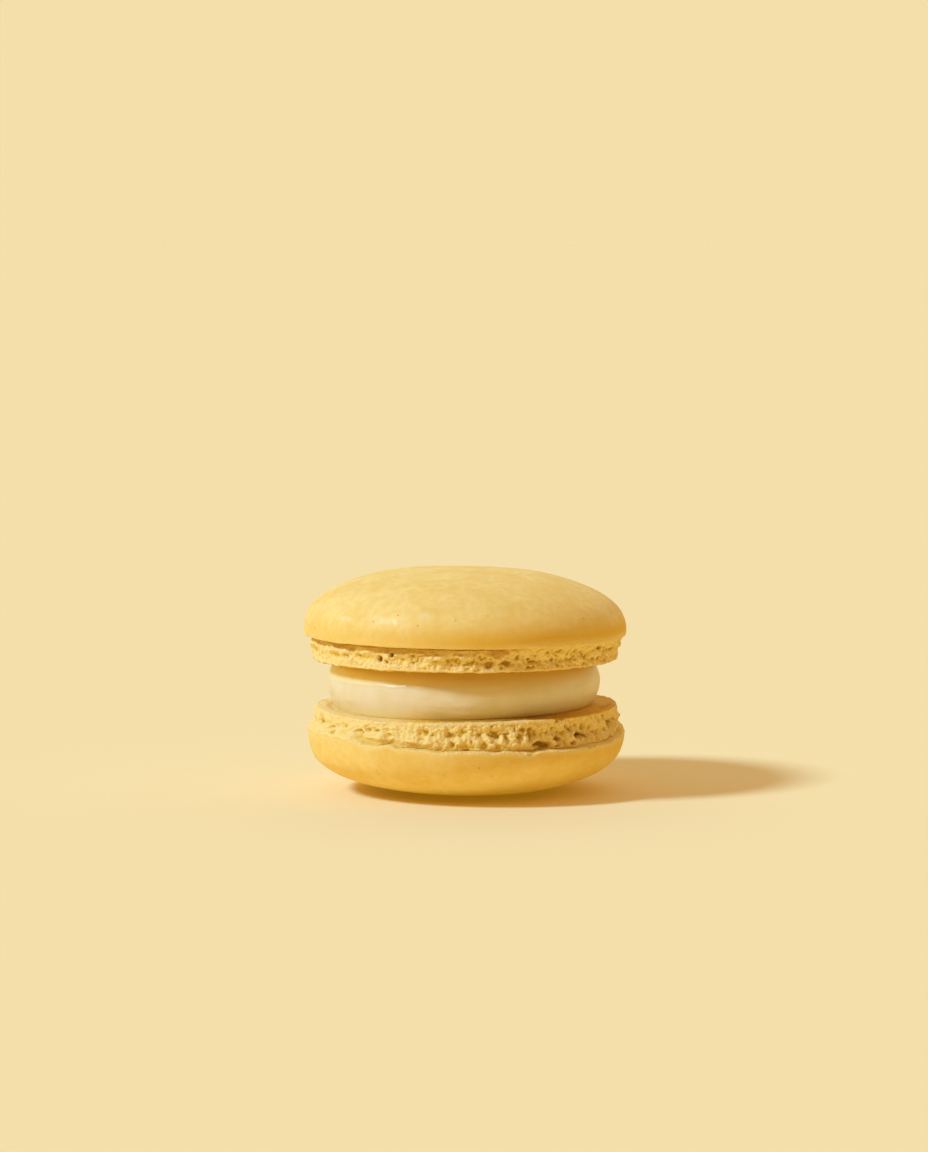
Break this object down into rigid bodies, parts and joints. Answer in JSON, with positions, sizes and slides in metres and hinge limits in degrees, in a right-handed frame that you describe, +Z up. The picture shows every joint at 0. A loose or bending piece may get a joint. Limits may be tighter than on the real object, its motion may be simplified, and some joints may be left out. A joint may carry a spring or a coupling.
{
  "type": "french macaron",
  "caption": "Round sandwich biscuit: two domed almond meringue shells with ragged feet, joined by a thick disc of pale buttercream.",
  "frame": {"origin": "middle of the small flat spot on the lower dome that the macaron rests on", "axes": "+Z up through the middle of both shells; the side that faces -Y is the front"},
  "size_m": [0.0448, 0.0449, 0.0313],
  "materials": {
    "meringue": "matt baked almond meringue, faintly satin on the dome and crumbly on the foot",
    "buttercream": "smooth satin buttercream"
  },
  "bodies": {
    "root": {"bottom_shell": "meringue", "filling": "buttercream", "top_shell": "meringue"}
  },
  "joints": []
}
